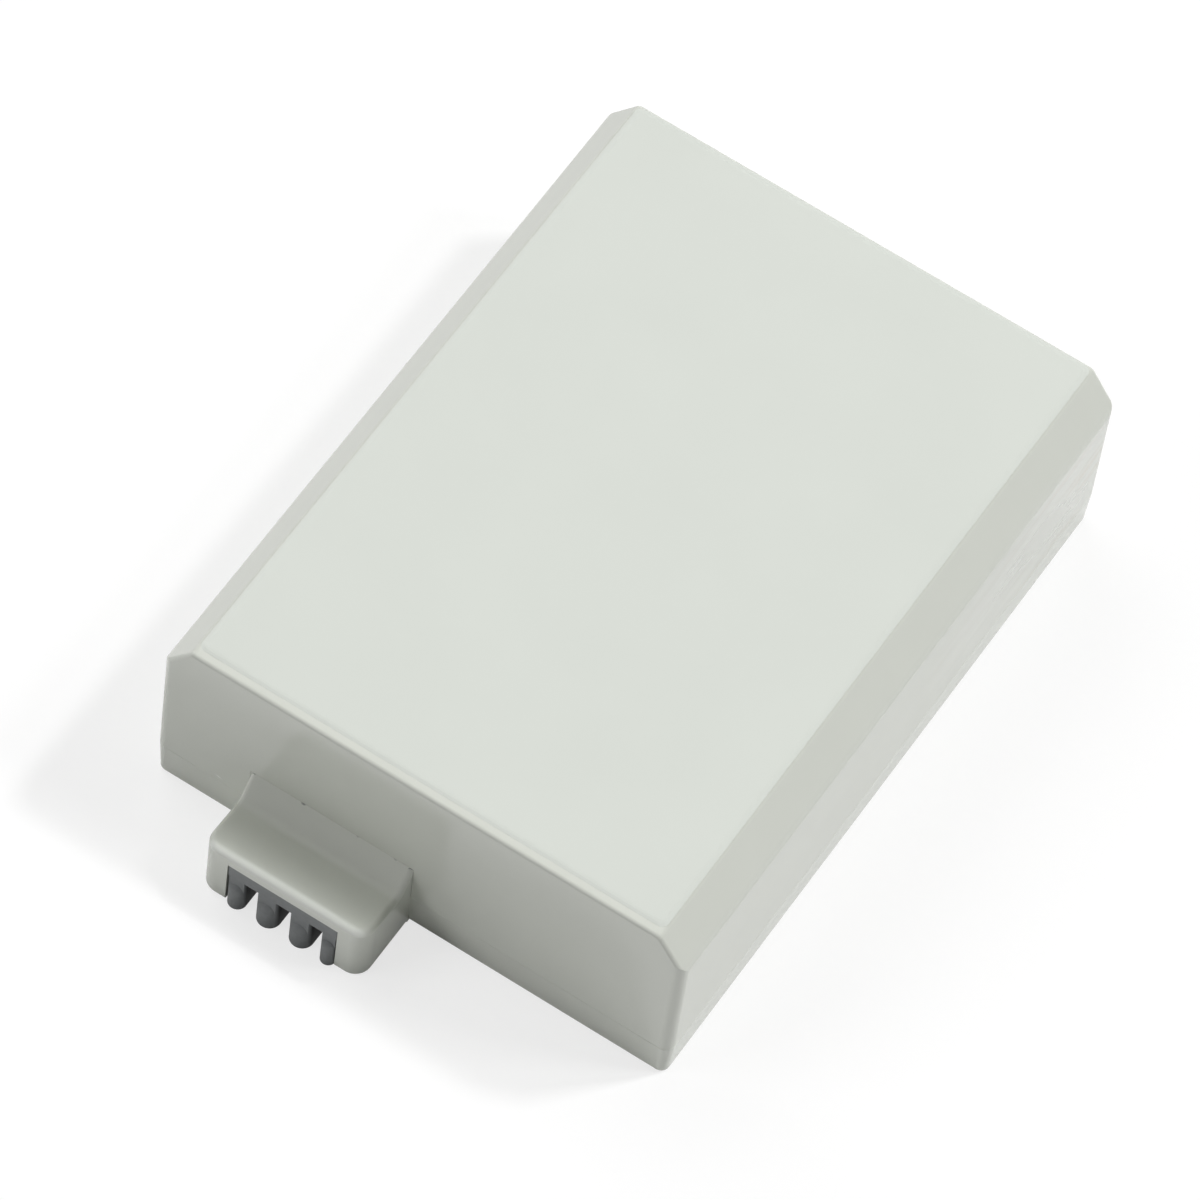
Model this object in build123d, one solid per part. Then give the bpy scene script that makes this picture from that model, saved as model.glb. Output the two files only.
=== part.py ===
from build123d import *

import os

# Rechargeable camera battery: a two-part moulded case welded round two flat cells,
# with an off-centre terminal block on the front face.
# Millimetres. X runs across the pack, the terminal block points along -Y, the label faces +Z.
# The origin is under the middle of the overall outline, on the face that the pack lies on.

# Outside of the pack
PACK_WIDTH = 36.0
PACK_LENGTH = 53.1
PACK_HEIGHT = 14.7
BLOCK_REACH = 4.95
CHAMFER_ACROSS = 1.9
CHAMFER_DOWN = 2.5
CORNER_RADIUS = 0.7
SHOULDER_RADIUS = 1.2
RIM_RADIUS = 0.5
END_EDGE_RADIUS = 0.25
BOTTOM_EDGE_RADIUS = 0.35

# Case mouldings
WALL = 0.9
INNER_CORNER_RADIUS = 0.4
PARTING_HEIGHT = 3.0
LOWER_DRAFT_ANGLE = 3.0
LAP_HEIGHT = 1.0
LAP_THICKNESS = 0.42
LAP_CLEARANCE = 0.05
PARTING_EDGE = 0.05
NOTCH_CLEARANCE = 0.02
BOARD_RIB_THICKNESS = 0.7
BOARD_RIB_HEIGHT = 0.6
BOARD_RIB_LENGTH = 24.0

# Terminal block on the lower case
BLOCK_WIDTH = 11.4
BLOCK_CENTRE = -5.7
RAMP_HEIGHT = 6.05
RAMP_REACH = 1.3
VALLEY_HEIGHT = 4.55
VALLEY_RADIUS = 0.8
LIP_HEIGHT = 4.85
LIP_RADIUS = 0.4
BLOCK_CORNER_RADIUS = 1.1
BLOCK_BOTTOM_RADIUS = 0.25

# Comb of dark plastic in the window of the block
WINDOW_WIDTH = 7.7
WINDOW_HEIGHT = 3.95
COMB_CLEARANCE = 0.06
COMB_RECESS = 0.05
COMB_BAND = 1.1
COMB_FLANGE = 0.7
COMB_FLANGE_THICKNESS = 0.6
FIN_REACH = 0.25
FIN_DOME_TOP = 2.3
SLOT_WIDTH = 0.74
SLOT_PITCH = 2.31
SLOT_SHIFT = 0.11
SLOT_LENGTH = 4.0

# Sprung contacts in the slots
CONTACT_THICKNESS = 0.15
CONTACT_LENGTH = 2.0
CONTACT_HEIGHT = 1.6
CONTACT_RISE = 1.0
CONTACT_BEND = 0.15
TAIL_WIDTH = 0.4
TAIL_OVERHANG = 0.3
TAIL_CLEARANCE = 0.02

# Label
LABEL_THICKNESS = 0.08
LABEL_SIDE_MARGIN = 0.25
LABEL_END_MARGIN = 0.82
LABEL_CORNER_RADIUS = 0.7

# Circuit board and what is soldered to its rear face
BOARD_THICKNESS = 0.8
BOARD_SIDE_GAP = 0.6
BOARD_TOP_GAP = 0.6
BOARD_RIB_GAP = 0.05
BOARD_CORNER_RADIUS = 0.8
PART_SPACE = 1.75
CHIP_WIDTH = 2.9
CHIP_DEPTH = 1.6
CHIP_HEIGHT = 1.1
CHIP_BEVEL = 0.13
TRANSISTOR_WIDTH = 3.0
TRANSISTOR_DEPTH = 4.4
TRANSISTOR_HEIGHT = 1.0
LEAD_WIDTH = 0.35
LEAD_REACH = 0.6
LEAD_THICKNESS = 0.2
FUSE_LENGTH = 4.5
FUSE_WIDTH = 3.2
FUSE_HEIGHT = 0.7
PASSIVE_LENGTH = 1.6
PASSIVE_WIDTH = 0.8
RESISTOR_HEIGHT = 0.45
CAPACITOR_HEIGHT = 0.8
SENSOR_HEIGHT = 0.6
PASSIVE_PITCH = 1.6
PASSIVE_BEVEL = 0.06
CHIP_OFFSET = -9.0
TRANSISTOR_OFFSET = 1.8
FUSE_OFFSET = 6.2
SENSOR_OFFSET = 0.4
RESISTOR_OFFSET = 6.0
CAPACITOR_OFFSET = -8.8
RESISTOR_COUNT = 4
CAPACITOR_COUNT = 3
CHIP_LEAD_COUNT = 3
TRANSISTOR_LEAD_COUNT = 4

# Cells and their wrappings
CELL_SIDE_GAP = 0.3
CELL_END_GAP = 0.2
CELL_END_BREAK = 0.4
BOTTOM_PAD_THICKNESS = 0.5
TOP_PAD_THICKNESS = 0.5
CELL_TAPE_THICKNESS = 0.16
PAD_MARGIN = 3.2
PAPER_THICKNESS = 0.2
PAPER_RIM = 0.7
PAPER_CLEARANCE = 0.15

# Cell terminals
TERMINAL_HEIGHT = 0.6
GASKET_LENGTH = 4.6
GASKET_WIDTH = 3.4
GASKET_THICKNESS = 0.3
RIVET_LENGTH = 4.0
RIVET_WIDTH = 2.8
SHANK_DIAMETER = 1.4
SLEEVE_WALL = 0.4
TERMINAL_BORE_DEPTH = 0.8
POLE_PAD_LENGTH = 3.2
POLE_PAD_WIDTH = 2.8
POLE_PAD_OFFSET = 9.0
TERMINAL_CORNER_RADIUS = 0.5

# Nickel strips
STRIP_THICKNESS = 0.15
STRIP_WIDTH = 2.4
STRIP_BEND = 0.3
STRIP_OVERHANG = 0.4
STRIP_CLEARANCE = 0.1
LEG_COMB_GAP = 1.2
TAP_LEG_OFFSET = -4.2
POSITIVE_LEG_OFFSET = 12.6
LINK_RISER_OFFSET = 4.6

# How close two places are when they count as one
NEAR = 0.0001

# Places that follow from those sizes
BACK = PACK_LENGTH / 2
FIN_FRONT = -PACK_LENGTH / 2
BLOCK_FRONT = FIN_FRONT + FIN_REACH
FRONT = BLOCK_FRONT + BLOCK_REACH
BODY_LENGTH = BACK - FRONT
BODY_CENTRE = (FRONT + BACK) / 2
CASE_TOP = PACK_HEIGHT - LABEL_THICKNESS
SHOULDER = CASE_TOP - CHAMFER_DOWN
FLAT_HALF = PACK_WIDTH / 2 - CHAMFER_ACROSS
INSIDE_TOP = CASE_TOP - WALL
INSIDE_FRONT = FRONT + WALL
INSIDE_BACK = BACK - WALL

BLOCK_LEFT = BLOCK_CENTRE - BLOCK_WIDTH / 2
BLOCK_RIGHT = BLOCK_CENTRE + BLOCK_WIDTH / 2
COMB_FRONT = BLOCK_FRONT + COMB_RECESS
COMB_BACK = INSIDE_FRONT + COMB_FLANGE_THICKNESS
COMB_WIDTH = WINDOW_WIDTH - 2 * COMB_CLEARANCE
SLOT_BACK = BLOCK_FRONT + SLOT_LENGTH
SLOT_TOP = WINDOW_HEIGHT - COMB_BAND
SLOT_CENTRES = [BLOCK_CENTRE + SLOT_SHIFT + step * SLOT_PITCH for step in (-1, 0, 1)]
TAIL_HEIGHT = CONTACT_RISE + CONTACT_HEIGHT / 2

BOARD_FRONT = COMB_BACK
BOARD_BACK = BOARD_FRONT + BOARD_THICKNESS
STRIP_FRONT = BOARD_BACK + PART_SPACE
STRIP_BACK = STRIP_FRONT + STRIP_THICKNESS
CELL_FRONT = STRIP_BACK + TERMINAL_HEIGHT
CELL_BACK = INSIDE_BACK - CELL_END_GAP
CELL_LENGTH = CELL_BACK - CELL_FRONT
CELL_WIDTH = PACK_WIDTH - 2 * (WALL + CELL_SIDE_GAP)
STACK_BOTTOM = WALL + BOTTOM_PAD_THICKNESS
STACK_TOP = INSIDE_TOP - TOP_PAD_THICKNESS
CELL_THICKNESS = (STACK_TOP - STACK_BOTTOM - CELL_TAPE_THICKNESS) / 2
LOWER_CELL_MIDDLE = STACK_BOTTOM + CELL_THICKNESS / 2
UPPER_CELL_MIDDLE = STACK_TOP - CELL_THICKNESS / 2
NEGATIVE_LEG_OFFSET = BLOCK_CENTRE - WINDOW_WIDTH / 2 - COMB_FLANGE - LEG_COMB_GAP


def box_between(low, high):
    """A block from its lowest corner to its highest one."""
    size = [b - a for a, b in zip(low, high)]
    return Pos(*low) * Box(*size, align=Align.MIN)


def across(outline):
    """A flat outline in Y and Z, as a plane looking along X."""
    return Plane(origin=(0, 0, 0), x_dir=(0, 1, 0), z_dir=(1, 0, 0)) * outline


def upright(y, outline):
    """A flat outline in X and Z, standing at one Y and extruded towards +Y by a negative amount."""
    return Plane(origin=(0, y, 0), x_dir=(1, 0, 0), z_dir=(0, -1, 0)) * outline


def footprint(inset):
    """Plan of the case body, moved in from every side."""
    radius = max(CORNER_RADIUS - inset, INNER_CORNER_RADIUS)
    plan = RectangleRounded(PACK_WIDTH - 2 * inset, BODY_LENGTH - 2 * inset, radius)
    return Pos(0, BODY_CENTRE) * plan


def plan_prism(inset):
    """An upright block on the plan of the case, moved in from every side."""
    return Pos(0, 0, -WALL) * extrude(footprint(inset), CASE_TOP + 2 * WALL)


def shoulder_outline():
    """Section of the case seen from the front, with two chamfered shoulders and sharp corners."""
    half = PACK_WIDTH / 2
    outline = Polyline(
        (-half, -WALL), (half, -WALL), (half, SHOULDER), (FLAT_HALF, CASE_TOP),
        (-FLAT_HALF, CASE_TOP), (-half, SHOULDER), close=True,
    )
    return make_face(outline)


def inside_flat_half():
    """Half the width of the flat ceiling between the two inner chamfers."""
    slope = (CHAMFER_ACROSS ** 2 + CHAMFER_DOWN ** 2) ** 0.5
    return FLAT_HALF - WALL * (slope - CHAMFER_ACROSS) / CHAMFER_DOWN


def case_body():
    """The outside of the case as a solid: rounded shoulders and rims, then rounded round both ends."""
    section = shoulder_outline()
    section = fillet(section.vertices().group_by(Axis.Y)[1], SHOULDER_RADIUS)
    section = fillet(section.vertices().group_by(Axis.Y)[-1], RIM_RADIUS)
    body = extrude(upright(BACK, section), BODY_LENGTH)
    ends = body.edges().filter_by(lambda edge: abs(edge.center().Y - BODY_CENTRE) > BODY_LENGTH / 2 - NEAR)
    body = fillet(ends.filter_by(lambda edge: edge.center().Z > 0), END_EDGE_RADIUS)
    return body & plan_prism(0)


def case_cavity():
    """The space inside the case, one wall in from its sharp section."""
    section = offset(shoulder_outline(), -WALL, kind=Kind.INTERSECTION)
    return extrude(upright(BACK, section), BODY_LENGTH) & plan_prism(WALL)


def block_profile():
    """Side view of the terminal block: a ramp down from the front face, a valley and a raised lip."""
    outline = Polyline(
        (FRONT, 0), (BLOCK_FRONT, 0), (BLOCK_FRONT, LIP_HEIGHT),
        (FRONT - RAMP_REACH, VALLEY_HEIGHT), (FRONT, RAMP_HEIGHT), close=True,
    )
    profile = make_face(outline)
    valley = profile.vertices().sort_by_distance((FRONT - RAMP_REACH, VALLEY_HEIGHT))[0]
    return fillet(valley, VALLEY_RADIUS)


def terminal_block():
    """The moulded block with its rounded lip and corners, and a root that fills the notch in the wall."""
    block = Pos(BLOCK_LEFT) * extrude(across(block_profile()), BLOCK_WIDTH)
    block = fillet(block.edges().filter_by(Axis.Z).sort_by(Axis.Y)[:2], BLOCK_CORNER_RADIUS)
    free = block.edges().filter_by(lambda edge: edge.center().Y < FRONT - NEAR)
    top = free.filter_by(lambda edge: edge.center().Z > VALLEY_HEIGHT - LIP_RADIUS)
    behind_lip = top.filter_by(Axis.X).filter_by(lambda edge: edge.center().Y > BLOCK_FRONT + NEAR)
    block = fillet(top - behind_lip, LIP_RADIUS)
    underside = block.faces().sort_by(Axis.Z)[0]
    rim = underside.edges().filter_by(lambda edge: edge.center().Y < FRONT - NEAR)
    block = fillet(rim, BLOCK_BOTTOM_RADIUS)
    return block + box_between((BLOCK_LEFT, FRONT, 0), (BLOCK_RIGHT, INSIDE_FRONT, RAMP_HEIGHT))


def upper_case():
    """Deep cover with chamfered shoulders, notched over the terminal block."""
    shell = case_body() - case_cavity()
    shell -= extrude(footprint(WALL - LAP_THICKNESS - LAP_CLEARANCE), PARTING_HEIGHT + LAP_HEIGHT)
    side = PACK_WIDTH
    shell -= box_between((-side, BLOCK_FRONT, -PACK_HEIGHT), (side, PACK_LENGTH, PARTING_HEIGHT))
    return shell - box_between(
        (BLOCK_LEFT - NOTCH_CLEARANCE, FRONT - WALL, 0),
        (BLOCK_RIGHT + NOTCH_CLEARANCE, INSIDE_FRONT, RAMP_HEIGHT + NOTCH_CLEARANCE),
    )


def lower_case():
    """Shallow tray with a lap lip, the terminal block and a rib behind the circuit board."""
    down = (0, 0, -1)
    tray = extrude(footprint(0), PARTING_HEIGHT, dir=down, taper=LOWER_DRAFT_ANGLE)
    tray = Pos(0, 0, PARTING_HEIGHT) * tray
    tray = fillet(tray.faces().sort_by(Axis.Z)[0].edges(), BOTTOM_EDGE_RADIUS)
    tray = chamfer(tray.faces().sort_by(Axis.Z)[-1].edges(), PARTING_EDGE)
    lip = Pos(0, 0, WALL) * extrude(footprint(WALL - LAP_THICKNESS), PARTING_HEIGHT + LAP_HEIGHT - WALL)
    tray += lip
    tray -= Pos(0, 0, WALL) * extrude(footprint(WALL), PACK_HEIGHT)
    tray += terminal_block()
    tray -= box_between(
        (BLOCK_CENTRE - WINDOW_WIDTH / 2, BLOCK_FRONT - WALL, -WALL),
        (BLOCK_CENTRE + WINDOW_WIDTH / 2, INSIDE_FRONT, WINDOW_HEIGHT),
    )
    rib_front = BOARD_BACK + BOARD_RIB_GAP
    tray += box_between(
        (-BOARD_RIB_LENGTH / 2, rib_front, WALL / 2),
        (BOARD_RIB_LENGTH / 2, rib_front + BOARD_RIB_THICKNESS, WALL + BOARD_RIB_HEIGHT),
    )
    return tray


def label():
    """Blank self-adhesive film over the flat top."""
    plan = RectangleRounded(
        2 * (FLAT_HALF - LABEL_SIDE_MARGIN), BODY_LENGTH - 2 * LABEL_END_MARGIN, LABEL_CORNER_RADIUS
    )
    return Pos(0, BODY_CENTRE, CASE_TOP) * extrude(plan, LABEL_THICKNESS)


def contact_tail(slot_centre, clearance):
    """The pin of one contact, from its web through the comb and the board."""
    half = TAIL_WIDTH / 2 + clearance
    rise = CONTACT_THICKNESS / 2 + clearance
    return box_between(
        (slot_centre - half, SLOT_BACK - CONTACT_THICKNESS / 2, TAIL_HEIGHT - rise),
        (slot_centre + half, BOARD_BACK + TAIL_OVERHANG, TAIL_HEIGHT + rise),
    )


def fin(left, right):
    """One fin: a wall with a round front edge, and a domed nose that stands out of the window."""
    radius = (right - left) / 2
    middle = (left + right) / 2
    nose_back = FIN_FRONT + radius
    plan = Pos(middle, nose_back) * Circle(radius)
    plan += Pos(middle, (nose_back + SLOT_BACK) / 2) * Rectangle(2 * radius, SLOT_BACK - nose_back)
    plan -= Pos(middle, COMB_FRONT - radius) * Rectangle(4 * radius, 2 * radius)
    shaft = FIN_DOME_TOP - radius
    nose = Cylinder(radius, shaft, align=(Align.CENTER, Align.CENTER, Align.MIN))
    nose += Pos(0, 0, shaft) * Sphere(radius)
    return extrude(plan, SLOT_TOP) + Pos(middle, nose_back) * nose


def terminal_comb():
    """Dark insert: a band with four round-nosed fins, three slots, and a flange behind the wall."""
    left = BLOCK_CENTRE - COMB_WIDTH / 2
    right = BLOCK_CENTRE + COMB_WIDTH / 2
    top = WINDOW_HEIGHT - COMB_CLEARANCE
    comb = box_between((left, COMB_FRONT, SLOT_TOP), (right, INSIDE_FRONT, top))
    comb += box_between((left, SLOT_BACK, 0), (right, INSIDE_FRONT, top))
    edges = [left]
    for centre in SLOT_CENTRES:
        edges += [centre - SLOT_WIDTH / 2, centre + SLOT_WIDTH / 2]
    edges.append(right)
    for fin_left, fin_right in zip(edges[0::2], edges[1::2]):
        comb += fin(fin_left, fin_right)
    comb += box_between(
        (left - COMB_FLANGE, INSIDE_FRONT, WALL),
        (right + COMB_FLANGE, COMB_BACK, WINDOW_HEIGHT + COMB_FLANGE),
    )
    for centre in SLOT_CENTRES:
        comb -= contact_tail(centre, TAIL_CLEARANCE)
    return comb


def contact(slot_centre):
    """Sprung fork: two leaves along the walls of one slot, joined by a web with a tail."""
    leaf = (SLOT_WIDTH - CONTACT_THICKNESS) / 2
    web = SLOT_BACK - CONTACT_THICKNESS / 2
    tip = SLOT_BACK - CONTACT_LENGTH
    path = FilletPolyline(
        (slot_centre - leaf, tip), (slot_centre - leaf, web), (slot_centre + leaf, web),
        (slot_centre + leaf, tip), radius=CONTACT_BEND,
    )
    fork = Pos(0, 0, CONTACT_RISE) * extrude(trace(path, CONTACT_THICKNESS), CONTACT_HEIGHT)
    return fork + contact_tail(slot_centre, 0)


def strip_slot(leg_offset, middle, clearance):
    """The leg of one nickel strip where it passes the circuit board."""
    half = STRIP_THICKNESS / 2 + clearance
    rise = STRIP_WIDTH / 2 + clearance
    return box_between(
        (leg_offset - half, BOARD_FRONT - STRIP_OVERHANG, middle - rise),
        (leg_offset + half, STRIP_FRONT, middle + rise),
    )


def circuit_board():
    """Standing board with holes for the contact tails and slots for the strips."""
    width = 2 * (inside_flat_half() - BOARD_SIDE_GAP)
    height = INSIDE_TOP - BOARD_TOP_GAP - WALL
    outline = Pos(0, WALL + height / 2) * RectangleRounded(width, height, BOARD_CORNER_RADIUS)
    board = extrude(upright(BOARD_BACK, outline), BOARD_THICKNESS)
    for centre in SLOT_CENTRES:
        board -= contact_tail(centre, TAIL_CLEARANCE)
    board -= strip_slot(NEGATIVE_LEG_OFFSET, LOWER_CELL_MIDDLE, STRIP_CLEARANCE)
    board -= strip_slot(TAP_LEG_OFFSET, UPPER_CELL_MIDDLE, STRIP_CLEARANCE)
    board -= strip_slot(POSITIVE_LEG_OFFSET, UPPER_CELL_MIDDLE, STRIP_CLEARANCE)
    return board


def leaded_chip(x, z, width, depth, height, leads):
    """Small moulded chip on the rear of the board, with formed leads above and below it."""
    body = box_between(
        (x - width / 2, BOARD_BACK, z - depth / 2), (x + width / 2, BOARD_BACK + height, z + depth / 2)
    )
    body = chamfer(body.faces().sort_by(Axis.Y)[-1].edges(), CHIP_BEVEL)
    for step in range(leads):
        place = x + (step - (leads - 1) / 2) * width / leads
        body += box_between(
            (place - LEAD_WIDTH / 2, BOARD_BACK, z - depth / 2 - LEAD_REACH),
            (place + LEAD_WIDTH / 2, BOARD_BACK + LEAD_THICKNESS, z + depth / 2 + LEAD_REACH),
        )
    return body


def surface_chip(x, z, length, width, height):
    """Plain two-ended chip lying on the rear of the board, with its upper edges broken."""
    body = box_between(
        (x - length / 2, BOARD_BACK, z - width / 2), (x + length / 2, BOARD_BACK + height, z + width / 2)
    )
    return chamfer(body.faces().sort_by(Axis.Y)[-1].edges(), PASSIVE_BEVEL)


def chip_row(x, z, count, height):
    """Like chips side by side, as separate solids."""
    places = [x + step * PASSIVE_PITCH for step in range(count)]
    return Compound(children=[
        surface_chip(place, z, PASSIVE_WIDTH, PASSIVE_LENGTH, height) for place in places
    ])


def cell(middle):
    """Drawn aluminium can with full-round sides, its lid bored for the insulated rivet."""
    outline = Pos(0, middle) * SlotOverall(CELL_WIDTH, CELL_THICKNESS)
    can = extrude(upright(CELL_BACK, outline), CELL_LENGTH)
    can = chamfer(can.faces().sort_by(Axis.Y)[-1].edges(), CELL_END_BREAK)
    bore = Pos(0, middle) * Circle(SHANK_DIAMETER / 2 + SLEEVE_WALL)
    return can - extrude(upright(CELL_FRONT + TERMINAL_BORE_DEPTH, bore), TERMINAL_BORE_DEPTH)


def gasket(middle):
    """Insulating plate under the rivet head, with a sleeve down the bore of the lid."""
    outline = Pos(0, middle) * RectangleRounded(GASKET_LENGTH, GASKET_WIDTH, TERMINAL_CORNER_RADIUS)
    bore = Pos(0, middle) * Circle(SHANK_DIAMETER / 2)
    sleeve = Pos(0, middle) * Circle(SHANK_DIAMETER / 2 + SLEEVE_WALL)
    depth = CELL_FRONT + TERMINAL_BORE_DEPTH
    plate = extrude(upright(CELL_FRONT, outline), GASKET_THICKNESS)
    plate += extrude(upright(depth, sleeve), TERMINAL_BORE_DEPTH)
    return plate - extrude(upright(depth, bore), TERMINAL_BORE_DEPTH + GASKET_THICKNESS)


def rivet(middle):
    """Negative pole: a flat head on the gasket and a shank through it."""
    outline = Pos(0, middle) * RectangleRounded(RIVET_LENGTH, RIVET_WIDTH, TERMINAL_CORNER_RADIUS)
    shank = Pos(0, middle) * Circle(SHANK_DIAMETER / 2)
    depth = CELL_FRONT + TERMINAL_BORE_DEPTH
    head = extrude(upright(CELL_FRONT - GASKET_THICKNESS, outline), TERMINAL_HEIGHT - GASKET_THICKNESS)
    return head + extrude(upright(depth, shank), TERMINAL_BORE_DEPTH + GASKET_THICKNESS)


def pole_pad(middle):
    """Positive pole: a clad pad welded to the lid, level with the rivet head."""
    outline = Pos(POLE_PAD_OFFSET, middle) * RectangleRounded(
        POLE_PAD_LENGTH, POLE_PAD_WIDTH, TERMINAL_CORNER_RADIUS
    )
    return extrude(upright(CELL_FRONT, outline), TERMINAL_HEIGHT)


def folded_strip(start, leg_offset, middle):
    """Nickel strip that runs across the poles and folds forward through the board."""
    plane = (STRIP_FRONT + STRIP_BACK) / 2
    path = FilletPolyline(
        (start, plane), (leg_offset, plane), (leg_offset, BOARD_FRONT - STRIP_OVERHANG), radius=STRIP_BEND
    )
    return Pos(0, 0, middle - STRIP_WIDTH / 2) * extrude(trace(path, STRIP_THICKNESS), STRIP_WIDTH)


def series_link():
    """Strip from the lower cell's positive pad to the upper cell's rivet, with a tap to the board."""
    half = STRIP_WIDTH / 2
    riser_left = LINK_RISER_OFFSET - half
    riser_right = LINK_RISER_OFFSET + half
    link = folded_strip(riser_right, TAP_LEG_OFFSET, UPPER_CELL_MIDDLE)
    link += box_between(
        (riser_left, STRIP_FRONT, LOWER_CELL_MIDDLE - half),
        (riser_right, STRIP_BACK, UPPER_CELL_MIDDLE + half),
    )
    return link + box_between(
        (riser_left, STRIP_FRONT, LOWER_CELL_MIDDLE - half),
        (POLE_PAD_OFFSET + POLE_PAD_LENGTH / 2, STRIP_BACK, LOWER_CELL_MIDDLE + half),
    )


def insulating_paper():
    """Fish-paper sheet over both lids, cut out round the poles."""
    spacing = UPPER_CELL_MIDDLE - LOWER_CELL_MIDDLE
    height = spacing + GASKET_WIDTH + 2 * (PAPER_CLEARANCE + PAPER_RIM)
    middle = (UPPER_CELL_MIDDLE + LOWER_CELL_MIDDLE) / 2
    sheet = Pos(0, middle) * Rectangle(CELL_WIDTH - CELL_THICKNESS, height)
    gap = 2 * PAPER_CLEARANCE
    for level in (LOWER_CELL_MIDDLE, UPPER_CELL_MIDDLE):
        sheet -= Pos(0, level) * Rectangle(GASKET_LENGTH + gap, GASKET_WIDTH + gap)
        sheet -= Pos(POLE_PAD_OFFSET, level) * Rectangle(POLE_PAD_LENGTH + gap, POLE_PAD_WIDTH + gap)
    return extrude(upright(CELL_FRONT, sheet), PAPER_THICKNESS)


def flat_pad(bottom, thickness):
    """Thin sheet over the flat of a cell: foam against the case, or tape between the cells."""
    width = CELL_WIDTH - 2 * PAD_MARGIN
    length = CELL_LENGTH - 2 * PAD_MARGIN
    middle = (CELL_FRONT + CELL_BACK) / 2
    pad = Box(width, length, thickness, align=(Align.CENTER, Align.CENTER, Align.MIN))
    return Pos(0, middle, bottom) * pad


NODES = {
    "upper_case": upper_case(),
    "lower_case": lower_case(),
    "label": label(),
    "terminal_comb": terminal_comb(),
    "positive_contact": contact(SLOT_CENTRES[0]),
    "sense_contact": contact(SLOT_CENTRES[1]),
    "negative_contact": contact(SLOT_CENTRES[2]),
    "circuit_board": circuit_board(),
    "protection_chip": leaded_chip(
        CHIP_OFFSET, UPPER_CELL_MIDDLE, CHIP_WIDTH, CHIP_DEPTH, CHIP_HEIGHT, CHIP_LEAD_COUNT
    ),
    "switch_transistors": leaded_chip(
        TRANSISTOR_OFFSET, LOWER_CELL_MIDDLE, TRANSISTOR_WIDTH, TRANSISTOR_DEPTH, TRANSISTOR_HEIGHT,
        TRANSISTOR_LEAD_COUNT,
    ),
    "resettable_fuse": surface_chip(FUSE_OFFSET, UPPER_CELL_MIDDLE, FUSE_LENGTH, FUSE_WIDTH, FUSE_HEIGHT),
    "temperature_sensor": surface_chip(
        SENSOR_OFFSET, UPPER_CELL_MIDDLE, PASSIVE_LENGTH, PASSIVE_WIDTH, SENSOR_HEIGHT
    ),
    "chip_resistors": chip_row(RESISTOR_OFFSET, LOWER_CELL_MIDDLE, RESISTOR_COUNT, RESISTOR_HEIGHT),
    "chip_capacitors": chip_row(CAPACITOR_OFFSET, LOWER_CELL_MIDDLE, CAPACITOR_COUNT, CAPACITOR_HEIGHT),
    "lower_cell": cell(LOWER_CELL_MIDDLE),
    "upper_cell": cell(UPPER_CELL_MIDDLE),
    "lower_cell_gasket": gasket(LOWER_CELL_MIDDLE),
    "upper_cell_gasket": gasket(UPPER_CELL_MIDDLE),
    "lower_cell_rivet": rivet(LOWER_CELL_MIDDLE),
    "upper_cell_rivet": rivet(UPPER_CELL_MIDDLE),
    "lower_cell_pole_pad": pole_pad(LOWER_CELL_MIDDLE),
    "upper_cell_pole_pad": pole_pad(UPPER_CELL_MIDDLE),
    "negative_strip": folded_strip(RIVET_LENGTH / 2, NEGATIVE_LEG_OFFSET, LOWER_CELL_MIDDLE),
    "series_link": series_link(),
    "positive_strip": folded_strip(
        POLE_PAD_OFFSET - POLE_PAD_LENGTH / 2, POSITIVE_LEG_OFFSET, UPPER_CELL_MIDDLE
    ),
    "insulating_paper": insulating_paper(),
    "cell_tape": flat_pad(STACK_BOTTOM + CELL_THICKNESS, CELL_TAPE_THICKNESS),
    "bottom_pad": flat_pad(WALL, BOTTOM_PAD_THICKNESS),
    "top_pad": flat_pad(STACK_TOP, TOP_PAD_THICKNESS),
}

os.makedirs("parts", exist_ok=True)
for name, shape in NODES.items():
    export_step(shape, f"parts/{name}.step")
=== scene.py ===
import math

import bpy
from mathutils import Matrix, Vector


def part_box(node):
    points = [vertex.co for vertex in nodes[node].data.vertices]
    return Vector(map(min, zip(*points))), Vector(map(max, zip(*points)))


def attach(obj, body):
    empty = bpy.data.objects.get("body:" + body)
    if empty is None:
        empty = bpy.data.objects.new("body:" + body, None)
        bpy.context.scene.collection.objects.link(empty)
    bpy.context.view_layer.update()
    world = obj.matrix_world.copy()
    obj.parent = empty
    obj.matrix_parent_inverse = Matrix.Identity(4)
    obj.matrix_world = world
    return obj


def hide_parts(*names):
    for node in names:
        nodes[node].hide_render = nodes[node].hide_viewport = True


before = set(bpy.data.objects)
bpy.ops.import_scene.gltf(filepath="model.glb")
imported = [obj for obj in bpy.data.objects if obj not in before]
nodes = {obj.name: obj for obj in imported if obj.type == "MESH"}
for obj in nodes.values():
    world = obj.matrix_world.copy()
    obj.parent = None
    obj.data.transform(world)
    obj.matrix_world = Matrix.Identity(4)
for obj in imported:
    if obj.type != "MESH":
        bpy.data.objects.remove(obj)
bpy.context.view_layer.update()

# Lower half of the case: a shallow tray with the terminal block on its front, injection moulded in
# a pale grey PC and ABS blend from a polished tool. The cover is welded to it along a lap joint.

MM = 0.001
X_AXIS, Y_AXIS, Z_AXIS = range(3)
MIX_SHARE, MIX_UNDER, MIX_OVER, MIX_RESULT = 0, 6, 7, 2


def linear(hex_colour):
    """An sRGB hex colour as the linear RGBA that Blender's sockets take."""
    levels = [int(hex_colour[i : i + 2], 16) / 255 for i in (1, 3, 5)]
    curve = [v / 12.92 if v <= 0.04045 else ((v + 0.055) / 1.055) ** 2.4 for v in levels]
    return (*curve, 1.0)


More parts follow.
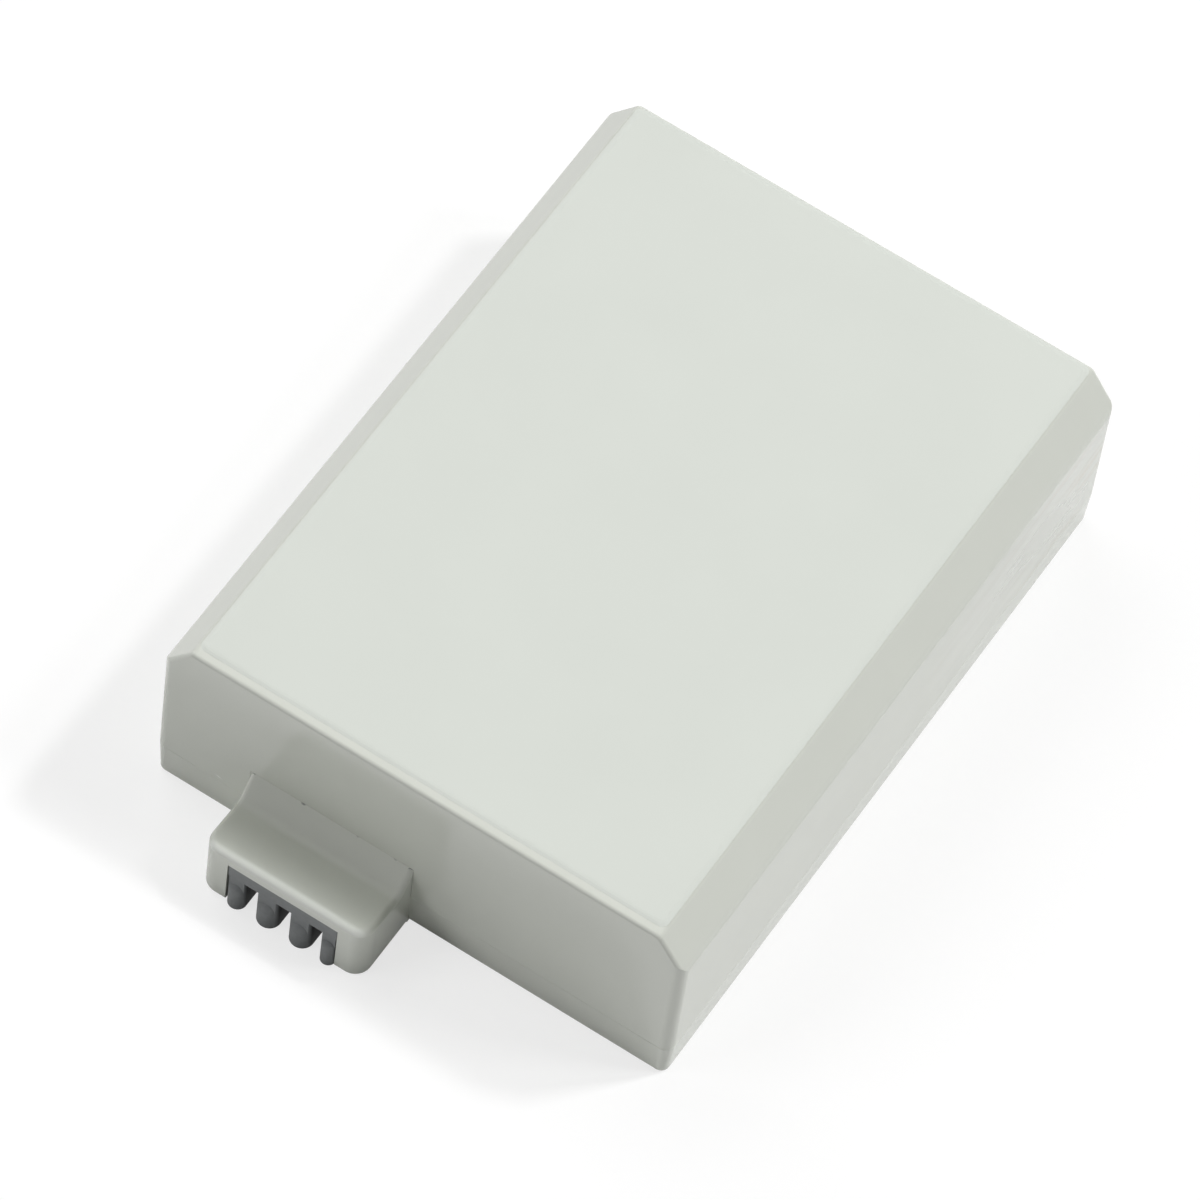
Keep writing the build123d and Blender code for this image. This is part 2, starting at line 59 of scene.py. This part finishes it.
def add(tree, kind, inputs, **settings):
    """Adds one shader node with its settings, and sets or links its inputs."""
    made = tree.nodes.new("ShaderNode" + kind)
    for name, value in settings.items():
        setattr(made, name, value)
    for socket, value in inputs.items():
        if isinstance(value, bpy.types.NodeSocket):
            tree.links.new(value, made.inputs[socket])
        else:
            made.inputs[socket].default_value = value
    return made


def grained(name, dark, light, sheen, grain_mm, relief_mm, drawn=(1, 1, 1), **constants):
    """A finish whose colour, gloss and relief all follow one grain, and its shader.

    The colour runs from dark to light and the roughness between the two ends of sheen. The grain is
    grain_mm apart, stretched along X, Y and Z by drawn, and stands relief_mm high.
    """
    made = bpy.data.materials.new(name)
    made.use_nodes = True
    tree = made.node_tree
    tree.nodes.clear()
    place = add(tree, "TexCoord", {}).outputs["Object"]
    scale = [1 / (grain_mm * MM * stretch) for stretch in drawn]
    place = add(tree, "Mapping", {"Vector": place, "Scale": scale}).outputs[0]
    grain = add(tree, "TexNoise", {"Vector": place, "Scale": 1.0, "Detail": 3.0}).outputs["Fac"]
    pigment = {MIX_SHARE: grain, MIX_UNDER: linear(dark), MIX_OVER: linear(light)}
    colour = add(tree, "Mix", pigment, data_type="RGBA").outputs[MIX_RESULT]
    gloss = add(tree, "MapRange", {"Value": grain, "To Min": sheen[0], "To Max": sheen[1]})
    relief = add(tree, "Bump", {"Strength": 1.0, "Distance": relief_mm * MM, "Height": grain})
    shader = add(
        tree,
        "BsdfPrincipled",
        {
            "Base Color": colour,
            "Roughness": gloss.outputs[0],
            "Normal": relief.outputs[0],
            **constants,
        },
    )
    add(tree, "OutputMaterial", {"Surface": shader.outputs[0]})
    return made, shader


def tint(shader, share, hex_colour):
    """Lays a second colour over a finish, as strong as share at each point."""
    tree = shader.id_data
    under = shader.inputs["Base Color"].links[0].from_socket
    layers = {MIX_SHARE: share, MIX_UNDER: under, MIX_OVER: linear(hex_colour)}
    colour = add(tree, "Mix", layers, data_type="RGBA").outputs[MIX_RESULT]
    tree.links.new(colour, shader.inputs["Base Color"])


def wear_and_highlight_patch(tree, place, middle, reach, turn=(0, 0, 0)):
    """How deep a point lies in a patch, which marks wear on the cover and a painted highlight on the
    lip: 1 at its middle, fading to 0 at its reach.
    """
    patch = {"Vector": place, "Location": middle, "Rotation": turn, "Scale": reach}
    inside = add(tree, "Mapping", patch, vector_type="TEXTURE").outputs[0]
    return add(tree, "TexGradient", {"Vector": inside}, gradient_type="SPHERICAL").outputs["Fac"]


def dress(finish, *names):
    """Gives these CAD nodes one finish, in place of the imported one."""
    for name in names:
        nodes[name].data.materials.clear()
        nodes[name].data.materials.append(finish)


# Moulded PC and ABS off a polished tool: an even pale grey with a clear gloss, a faint cloud in the
# pigment and the slow waves of the tool's hand polish.
case_grey = {
    "dark": "#D4D7CE",
    "light": "#D9DCD3",
    "sheen": (0.08, 0.13),
    "grain_mm": 5,
    "relief_mm": 0.002,
    "IOR": 1.55,
}
case_plastic, shader = grained("moulded_pc_abs_pale_grey", **case_grey)
tree = shader.id_data
place = add(tree, "TexCoord", {}).outputs["Object"]

# The block's lip is painted paler along its rounded edge: a painted highlight, standing for the light
# that edge catches.
block_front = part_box("lower_case")[0][Y_AXIS]
ramp_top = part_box("lower_case")[1][Z_AXIS]
lip_highlight_middle = (-5.45 * MM, block_front + 0.22 * MM, ramp_top - 1.35 * MM)
lip_highlight_reach = (14 * MM, 0.45 * MM, 0.45 * MM)
highlight_starts, highlight_full = 0.1, 0.5
lip_highlight = wear_and_highlight_patch(tree, place, lip_highlight_middle, lip_highlight_reach)
lip_highlight = add(
    tree, "MapRange", {"Value": lip_highlight, "From Min": highlight_starts, "From Max": highlight_full}
).outputs[0]
# Painted highlight: the paler colour laid along the lip.
tint(shader, lip_highlight, "#E7EAE3")

# A few specks of dirt sit along the top of the ramp, where it meets the cover.
speck_size = 0.5 * MM
dirty_band = 0.08 * MM
first_dirty, fully_dirty = 0.66, 0.78
height = add(tree, "SeparateXYZ", {"Vector": place}).outputs["Z"]
in_seam = add(tree, "Math", {0: height, 1: ramp_top - dirty_band}, operation="GREATER_THAN")
specks = add(tree, "TexNoise", {"Vector": place, "Scale": 1 / speck_size, "Detail": 0.0})
specks = add(
    tree,
    "MapRange",
    {"Value": specks.outputs["Fac"], "From Min": first_dirty, "From Max": fully_dirty},
)
specks = add(tree, "Math", {0: specks.outputs[0], 1: in_seam.outputs[0]}, operation="MULTIPLY")
tint(shader, specks.outputs[0], "#8C908A")
dress(case_plastic, "lower_case")

# Terminal comb: the dark insert in the block's window, glass-filled nylon in slate grey, pushed in
# from inside until its flange meets the front wall. Its fins part the three contacts.

# Glass-filled nylon as moulded: a dull slate with the mottle of fibres near the skin. Deep in the
# slots it is painted near black, as painted shade where the fins and the band above them shadow the
# slots.
comb_nylon, shader = grained(
    "moulded_glass_filled_nylon_slate",
    dark="#686B6C",
    light="#7E8182",
    sheen=(0.42, 0.58),
    grain_mm=0.35,
    relief_mm=0.006,
    IOR=1.53,
)
tree = shader.id_data
fin_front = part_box("terminal_comb")[0][Y_AXIS]
shade_starts_at = fin_front + 0.32 * MM
shade_full_at = fin_front + 0.58 * MM
place = add(tree, "TexCoord", {}).outputs["Object"]
depth = add(tree, "SeparateXYZ", {"Vector": place}).outputs["Y"]
# Painted shade: the comb turns near black with depth behind the front of the fins.
slot_shade = add(tree, "MapRange", {"Value": depth, "From Min": shade_starts_at, "From Max": shade_full_at})
tint(shader, slot_shade.outputs[0], "#070707")
dress(comb_nylon, "terminal_comb")

# Contacts: three forks of sprung phosphor bronze, stamped, folded and plated with gold over nickel,
# one in each slot. Their tails go through the comb and the board.

# Gold plate on rolled strip: a warm yellow metal, half bright, with rolling lines along the leaves.
gold_plate, _ = grained(
    "gold_plated_phosphor_bronze",
    dark="#C9A35A",
    light="#E0BE78",
    sheen=(0.2, 0.36),
    grain_mm=0.06,
    relief_mm=0.001,
    drawn=(1, 12, 1),
    Metallic=1.0,
)
dress(gold_plate, "positive_contact", "sense_contact", "negative_contact")

# Circuit board: a sheet of woven glass and epoxy that stands behind the front wall, etched, coated
# with green solder mask on both faces and routed to its outline, which bares the laminate.

# Solder mask: a satin green, lighter over the copper pour and darker in the lines etched out of it.
board_laminate, shader = grained(
    "green_solder_mask_on_glass_epoxy",
    dark="#2B7350",
    light="#34855C",
    sheen=(0.28, 0.4),
    grain_mm=0.4,
    relief_mm=0.004,
    IOR=1.5,
)
tree = shader.id_data
etched_line = 0.08 * MM
pour_width = 4.6 * MM
pour_height = 1.7 * MM
upright = (math.pi / 2, 0, 0)
place = add(tree, "TexCoord", {}).outputs["Object"]
place = add(tree, "Mapping", {"Vector": place, "Rotation": upright}).outputs[0]
etched = add(
    tree,
    "TexBrick",
    {
        "Vector": place,
        "Scale": 1.0,
        "Mortar Size": etched_line,
        "Mortar Smooth": 0.2,
        "Brick Width": pour_width,
        "Row Height": pour_height,
    },
)
tint(shader, etched.outputs["Fac"], "#1E5A3D")
half_turned = 0.5
facing = add(tree, "NewGeometry", {}).outputs["Normal"]
facing = add(tree, "SeparateXYZ", {"Vector": facing}).outputs["Y"]
facing = add(tree, "Math", {0: facing}, operation="ABSOLUTE").outputs[0]
cut_edge = add(tree, "Math", {0: facing, 1: half_turned}, operation="LESS_THAN").outputs[0]
tint(shader, cut_edge, "#B7A877")
dress(board_laminate, "circuit_board")

# Chips on the rear of the board: the protection chip and the twin switch transistors in black
# epoxy, with tinned leads formed out at top and bottom, reflow soldered to the mask's openings.


def tin_ends(shader, node, axis, cap_mm):
    """Turns both ends of a node's chips to dull tin, this deep along one axis."""
    tree = shader.id_data
    low, high = (corner[axis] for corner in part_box(node))
    body_half = (high - low) / 2 - cap_mm * MM
    place = add(tree, "TexCoord", {}).outputs["Object"]
    along = add(tree, "SeparateXYZ", {"Vector": place}).outputs[axis]
    off = add(tree, "Math", {0: along, 1: (low + high) / 2}, operation="SUBTRACT").outputs[0]
    off = add(tree, "Math", {0: off}, operation="ABSOLUTE").outputs[0]
    tinned = add(tree, "Math", {0: off, 1: body_half}, operation="GREATER_THAN").outputs[0]
    tint(shader, tinned, "#C6C8C9")
    tree.links.new(tinned, shader.inputs["Metallic"])


# Epoxy moulding compound: charcoal, dull, with the fine grain of its silica filler.
lead_mm = 0.6
for node in ("protection_chip", "switch_transistors"):
    chip_resin, shader = grained(
        f"epoxy_moulding_compound_{node}",
        dark="#2A2A2C",
        light="#333335",
        sheen=(0.5, 0.62),
        grain_mm=0.12,
        relief_mm=0.005,
        IOR=1.55,
    )
    tin_ends(shader, node, Z_AXIS, lead_mm)
    dress(chip_resin, node)

# Two-ended chips beside them: resistors in dark glaze, capacitors in tan ceramic, the temperature
# sensor in grey ceramic and the resettable fuse in olive polymer, all with plated ends.

# Fired ceramic and glaze: smooth and half glossy, each in its own colour, with dull tin ends.
for node, dark, light, sheen, axis, cap_mm in (
    ("chip_resistors", "#4C4C50", "#55555A", (0.25, 0.35), Z_AXIS, 0.3),
    ("chip_capacitors", "#AD9576", "#B9A182", (0.4, 0.5), Z_AXIS, 0.35),
    ("temperature_sensor", "#9A958F", "#A6A19B", (0.4, 0.5), X_AXIS, 0.3),
    ("resettable_fuse", "#464F3B", "#505A44", (0.45, 0.6), X_AXIS, 0.6),
):
    chip_body, shader = grained(
        f"fired_body_{node}", dark, light, sheen, grain_mm=0.2, relief_mm=0.004, IOR=1.6
    )
    tin_ends(shader, node, axis, cap_mm)
    dress(chip_body, node)

# Foam pads: cut from thin charcoal polyurethane foam with an adhesive back, one under the cells and
# one over them, to take up the play in the case.

# Open-cell foam: charcoal, quite dull, pitted by its cells.
foam, _ = grained(
    "cut_polyurethane_foam_charcoal",
    dark="#464646",
    light="#5C5C5C",
    sheen=(0.9, 1.0),
    grain_mm=0.5,
    relief_mm=0.12,
)
dress(foam, "bottom_pad", "top_pad")

# Cells: two flat cans drawn from aluminium with full-round sides, laid one on the other, and held
# together by a sheet of double-sided tape.

# Drawn aluminium: bright silver with faint streaks along the draw.
cell_can, _ = grained(
    "drawn_aluminium_can",
    dark="#D6D7D8",
    light="#E2E3E4",
    sheen=(0.24, 0.38),
    grain_mm=0.15,
    relief_mm=0.002,
    drawn=(1, 60, 1),
    Metallic=1.0,
)
dress(cell_can, "lower_cell", "upper_cell")

# Acrylic tape: straw coloured and satin, with a slight cloud where the adhesive is thicker.
tape, _ = grained(
    "acrylic_transfer_tape_straw",
    dark="#D3CCAE",
    light="#DFDAC3",
    sheen=(0.3, 0.45),
    grain_mm=3,
    relief_mm=0.01,
    IOR=1.47,
)
dress(tape, "cell_tape")

# Poles of the cells: a nickel plated rivet as the negative pole, set through the lid in a plastic
# gasket that insulates it, and a clad nickel pad welded to the can as the positive pole.

# Moulded polypropylene: near black, waxy and soft in its gloss.
gasket, _ = grained(
    "moulded_polypropylene_black",
    dark="#414142",
    light="#4B4B4C",
    sheen=(0.38, 0.5),
    grain_mm=0.6,
    relief_mm=0.004,
    IOR=1.49,
)
dress(gasket, "lower_cell_gasket", "upper_cell_gasket")

# Nickel plate: warm silver, half bright, with a fine brushed grain.
nickel_plate, _ = grained(
    "nickel_plated_steel",
    dark="#CCCAC4",
    light="#D9D7D2",
    sheen=(0.22, 0.34),
    grain_mm=0.08,
    relief_mm=0.002,
    drawn=(6, 1, 1),
    Metallic=1.0,
)
dress(nickel_plate, "lower_cell_rivet", "upper_cell_rivet")
dress(nickel_plate, "lower_cell_pole_pad", "upper_cell_pole_pad")

# Insulating paper: one sheet of vulcanised fibre over both lids, punched out round the poles and
# stuck on.

# Vulcanised fibre: a dull grey green with short matted fibres.
fish_paper, _ = grained(
    "vulcanised_fibre_green",
    dark="#4F8471",
    light="#619A86",
    sheen=(0.7, 0.85),
    grain_mm=0.4,
    relief_mm=0.015,
    drawn=(3, 1, 1),
)
dress(fish_paper, "insulating_paper")

# Strips: pure nickel, slit, folded and resistance welded to the poles. Three legs go through slots
# in the board.

# Rolled nickel: warm silver, with rolling lines along each strip.
nickel_strip, _ = grained(
    "rolled_nickel_strip",
    dark="#CFCCC5",
    light="#DDDAD4",
    sheen=(0.2, 0.32),
    grain_mm=0.1,
    relief_mm=0.002,
    drawn=(15, 15, 1),
    Metallic=1.0,
)
dress(nickel_strip, "negative_strip", "series_link", "positive_strip")

# Solder: tin alloy drawn by hand round each tail and leg where it leaves the board, in a low mound
# that wets out over the board's face.

# Tin solder: cool silver and bright, with a soft ripple where it froze.
tin_solder, _ = grained(
    "tin_solder_as_frozen",
    dark="#BFC2C4",
    light="#D2D4D5",
    sheen=(0.15, 0.28),
    grain_mm=0.3,
    relief_mm=0.01,
    Metallic=1.0,
)
WETTED_OUT = 1.25
SAME_PLANE = 0.0001 * MM


def solder_mound(name, centre, size):
    """One solder joint: the outer half of a ball on the board's face, wetted out over it.

    The sign of the size along Y says which way the mound points.
    """
    bpy.ops.object.select_all(action="DESELECT")
    bpy.ops.mesh.primitive_uv_sphere_add(segments=28, ring_count=16, radius=0.5, location=centre)
    mound = bpy.context.object
    mound.name = name
    mound.scale = [abs(side) for side in size]
    bpy.ops.object.transform_apply(location=True, rotation=True, scale=True)
    outward = (0, math.copysign(1, size[Y_AXIS]), 0)
    bpy.ops.object.mode_set(mode="EDIT")
    bpy.ops.mesh.select_all(action="SELECT")
    bpy.ops.mesh.bisect(
        plane_co=centre, plane_no=outward, use_fill=True, clear_inner=True, threshold=SAME_PLANE
    )
    bpy.ops.transform.resize(
        value=(WETTED_OUT, 1, WETTED_OUT), center_override=centre, orient_type="GLOBAL"
    )
    bpy.ops.object.mode_set(mode="OBJECT")
    round_over = mound.modifiers.new("round", "SUBSURF")
    round_over.levels = round_over.render_levels = 1
    bpy.ops.object.modifier_apply(modifier=round_over.name)
    bpy.ops.object.shade_smooth_by_angle(angle=math.radians(50))
    mound.data.materials.append(tin_solder)
    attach(mound, "root")


board_front, board_back = (corner[Y_AXIS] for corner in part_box("circuit_board"))
tail_width = 0.95 * MM
tail_height = 0.8 * MM
tail_cover = 1.15
for tail in ("positive", "sense", "negative"):
    low, high = (Vector(corner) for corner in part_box(f"{tail}_contact"))
    stick_out = high.y - board_back
    middle = (low + high) / 2
    middle.y = board_back
    ball = (tail_width, 2 * tail_cover * stick_out, tail_height)
    solder_mound(f"{tail}_tail_solder", middle, ball)
leg_width = 1.0 * MM
leg_height = 3.1 * MM
leg_cover = 1.1
leg_middle_drop = 1.2 * MM
for strip in ("negative_strip", "series_link", "positive_strip"):
    low, high = (Vector(corner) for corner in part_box(strip))
    stick_out = board_front - low.y
    leg = high.x if strip == "positive_strip" else low.x
    middle = Vector((leg, board_front, high.z - leg_middle_drop))
    ball = (leg_width, -2 * leg_cover * stick_out, leg_height)
    solder_mound(f"{strip}_solder", middle, ball)

# Cover of the case: the deep upper moulding with the two chamfered shoulders, of the same blend as
# the tray, notched over the terminal block. One side is scuffed near the back.

cover_plastic, shader = grained("moulded_pc_abs_pale_grey_scuffed", **case_grey)
tree = shader.id_data
place = add(tree, "TexCoord", {}).outputs["Object"]
cover_low, cover_high = (Vector(corner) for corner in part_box("upper_case"))

# Scuffed plastic: rubbed paler and duller in soft streaks along the pack, with a little warm dirt
# in the deepest of them.
scuff_middle = (cover_high.x, cover_high.y - 6.55 * MM, 7 * MM)
scuff_reach = (1 * MM, 15 * MM, 6 * MM)
streak_size = (1.1 * MM, 9 * MM, 1.1 * MM)
least_rubbed = 0.5
first_soiled, fully_soiled = 0.4, 0.26
rubbed_roughness = 0.4
zone = wear_and_highlight_patch(tree, place, scuff_middle, scuff_reach)
streaks = {"Vector": place, "Scale": streak_size}
streaks = add(tree, "Mapping", streaks, vector_type="TEXTURE").outputs[0]
streaks = add(tree, "TexNoise", {"Vector": streaks, "Scale": 1.0, "Detail": 1.0}).outputs["Fac"]
rubbed = {"Value": streaks, "From Min": 0.3, "From Max": 0.7, "To Min": least_rubbed}
rubbed = add(tree, "MapRange", rubbed).outputs[0]
rubbed = add(tree, "Math", {0: rubbed, 1: zone}, operation="MULTIPLY").outputs[0]
soiled = {"Value": streaks, "From Min": first_soiled, "From Max": fully_soiled}
soiled = add(tree, "MapRange", soiled).outputs[0]
soiled = add(tree, "Math", {0: soiled, 1: zone}, operation="MULTIPLY").outputs[0]

# One short scratch shows on the front, near its left end.
scratch_middle = (cover_low.x + 4.46 * MM, cover_low.y, 3.36 * MM)
scratch_size = (0.36 * MM, 0.2 * MM, 0.07 * MM)
scratch_slope = (0, math.radians(14), 0)
scratch = wear_and_highlight_patch(tree, place, scratch_middle, scratch_size, scratch_slope)
pale = add(tree, "Math", {0: rubbed, 1: scratch}, operation="MAXIMUM").outputs[0]
tint(shader, pale, "#E9EBE5")
tint(shader, soiled, "#D3CDBF")
polish = shader.inputs["Roughness"].links[0].from_socket
gloss = add(tree, "MapRange", {"Value": pale, "To Min": polish, "To Max": rubbed_roughness})
tree.links.new(gloss.outputs[0], shader.inputs["Roughness"])
dress(cover_plastic, "upper_case")

# Label: a blank sheet of matt pale grey polyester film, die cut with round corners and stuck to the
# flat top, out to the rim at the back. The roller that laid it pressed its edge down, so this piece
# stands for the flat CAD film.

# Matt polyester film: a shade lighter than the case, with a soft sheen and an even, close grain.
label_film, _ = grained(
    "matt_polyester_film_pale_grey",
    dark="#D6DAD3",
    light="#DBDFD8",
    sheen=(0.36, 0.42),
    grain_mm=8,
    relief_mm=0.002,
    IOR=1.5,
)
stretch = 0.2 * MM
pressed_in = 0.04 * MM
back_rim = 0.18 * MM
corner_radius = 0.5 * MM
edge_steps_mm = ((0.2, 0.055), (0.15, 0.02))
low, high = (Vector(corner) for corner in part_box("label"))
low -= Vector((stretch, stretch, pressed_in))
high.x += stretch
high.y = cover_high.y - back_rim
cut_height = high.z - low.z - MM * sum(rise for _, rise in edge_steps_mm)
bpy.ops.object.select_all(action="DESELECT")
bpy.ops.mesh.primitive_plane_add(size=1, location=(*((low + high) / 2).xy, low.z))
film = bpy.context.object
film.name = "label_film"
film.scale = (*(high - low).xy, 1)
bpy.ops.object.transform_apply(location=True, rotation=True, scale=True)
bpy.ops.object.mode_set(mode="EDIT")
bpy.ops.mesh.select_all(action="SELECT")
bpy.ops.mesh.bevel(offset=corner_radius, segments=10, affect="VERTICES")
bpy.ops.mesh.select_all(action="SELECT")
bpy.ops.mesh.extrude_region_move(TRANSFORM_OT_translate={"value": (0, 0, cut_height)})
for inward, rise in edge_steps_mm:
    bpy.ops.mesh.inset(thickness=inward * MM, depth=rise * MM)
bpy.ops.object.mode_set(mode="OBJECT")
film.data.materials.append(label_film)
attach(film, "root")
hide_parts("label")

# Studio floor: a wide sheet of white board just under the pack. The camera sees it as white with the
# pack's soft shadow, and the gloss sees it lit a little more than the lamps light it.

WHITE = linear("#FFFFFF")
floor_width = 3.0
floor_drop = 0.01 * MM
mirrored_level = 0.214
shown_level = 0.72
bpy.ops.object.select_all(action="DESELECT")
bpy.ops.mesh.primitive_plane_add(size=floor_width, location=(0, 0, -floor_drop))
floor = bpy.context.object
floor.name = "studio_floor"
studio_white = bpy.data.materials.new("studio_floor_white")
studio_white.use_nodes = True
tree = studio_white.node_tree
tree.nodes.clear()
path = add(tree, "LightPath", {}).outputs
paint = add(tree, "BsdfDiffuse", {"Color": linear("#EDEDED")}).outputs[0]
mirrored = add(tree, "Emission", {"Color": WHITE, "Strength": mirrored_level}).outputs[0]
mirrored = add(tree, "AddShader", {0: paint, 1: mirrored}).outputs[0]
shadow = add(tree, "BsdfDiffuse", {"Color": linear("#959595")}).outputs[0]
shown = add(tree, "Emission", {"Color": WHITE, "Strength": shown_level}).outputs[0]
shown = add(tree, "AddShader", {0: shadow, 1: shown}).outputs[0]
in_gloss = {0: path["Is Glossy Ray"], 1: path["Is Transmission Ray"]}
in_gloss = add(tree, "Math", in_gloss, operation="MAXIMUM").outputs[0]
ground = add(tree, "MixShader", {0: in_gloss, 1: paint, 2: mirrored}).outputs[0]
ground = add(tree, "MixShader", {0: path["Is Camera Ray"], 1: ground, 2: shown}).outputs[0]
add(tree, "OutputMaterial", {"Surface": ground})
floor.data.materials.append(studio_white)

# Studio sky: white walls and ceiling all round, which the camera and the gloss see at full white.
# Almost no light falls on the pack from them.

seen_level = 1.0
fill_level = 0.02
sky = bpy.data.worlds.new("studio_sky")
bpy.context.scene.world = sky
sky.use_nodes = True
tree = sky.node_tree
tree.nodes.clear()
path = add(tree, "LightPath", {}).outputs
seen = {0: path["Is Camera Ray"], 1: path["Is Glossy Ray"]}
seen = add(tree, "Math", seen, operation="MAXIMUM").outputs[0]
seen = {0: seen, 1: path["Is Transmission Ray"]}
seen = add(tree, "Math", seen, operation="MAXIMUM").outputs[0]
fill = add(tree, "Background", {"Color": WHITE, "Strength": fill_level}).outputs[0]
walls = add(tree, "Background", {"Color": WHITE, "Strength": seen_level}).outputs[0]
dome = add(tree, "MixShader", {0: seen, 1: fill, 2: walls}).outputs[0]
add(tree, "OutputWorld", {"Surface": dome})

# Lamps: four square soft lamps, with the key and the side lamp behind on the right. A lamp's level is
# the share of a white card's full white that it gives, facing it. The gloss shows the white studio
# and not the lamps.


def towards(azimuth, elevation):
    """Unit vector out from the pack, with azimuth 0 in front of it and 90 on its right."""
    turn, rise = math.radians(azimuth), math.radians(elevation)
    return Vector(
        (math.sin(turn) * math.cos(rise), -math.cos(turn) * math.cos(rise), math.sin(rise))
    )


lamp_distance = 1.2
for name, azimuth, elevation, width, level in (
    ("key_lamp", 135, 57, 0.12, 0.468),
    ("side_lamp", 115, 50, 0.2, 0.248),
    ("left_lamp", 244, 49, 0.9, 0.393),
    ("front_lamp", 315, 35, 0.6, 0.241),
):
    lamp = bpy.data.lights.new(name, "AREA")
    lamp.size = width
    lamp.energy = level * math.pi**2 * lamp_distance**2
    stand = bpy.data.objects.new(name, lamp)
    bpy.context.scene.collection.objects.link(stand)
    stand.visible_glossy = False
    out = towards(azimuth, elevation)
    aim = (-out).to_track_quat("-Z", "Y").to_matrix().to_4x4()
    stand.matrix_world = Matrix.Translation(lamp_distance * out) @ aim

# Camera: a long lens at the photograph's angle, above the front on the right, and turned a little
# about its own axis.

camera_azimuth, camera_elevation = 25.344, 57.82
camera_roll = math.radians(8.975)
camera_distance = 550.94 * MM
looked_at = Vector((-2.877, 3.954, 0)) * MM
back = towards(camera_azimuth, camera_elevation)
level_right = Vector((0, 0, 1)).cross(back).normalized()
right = Matrix.Rotation(camera_roll, 3, back) @ level_right
up = back.cross(right)
lens = bpy.data.cameras.new("camera")
lens.sensor_width = 36
lens.lens = 275.62
lens.clip_start = 10 * MM
camera = bpy.data.objects.new("camera", lens)
bpy.context.scene.collection.objects.link(camera)
facing = Matrix((right, up, back)).transposed().to_4x4()
camera.matrix_world = Matrix.Translation(looked_at + camera_distance * back) @ facing
bpy.context.scene.camera = camera

bpy.context.scene.view_settings.view_transform = "Standard"
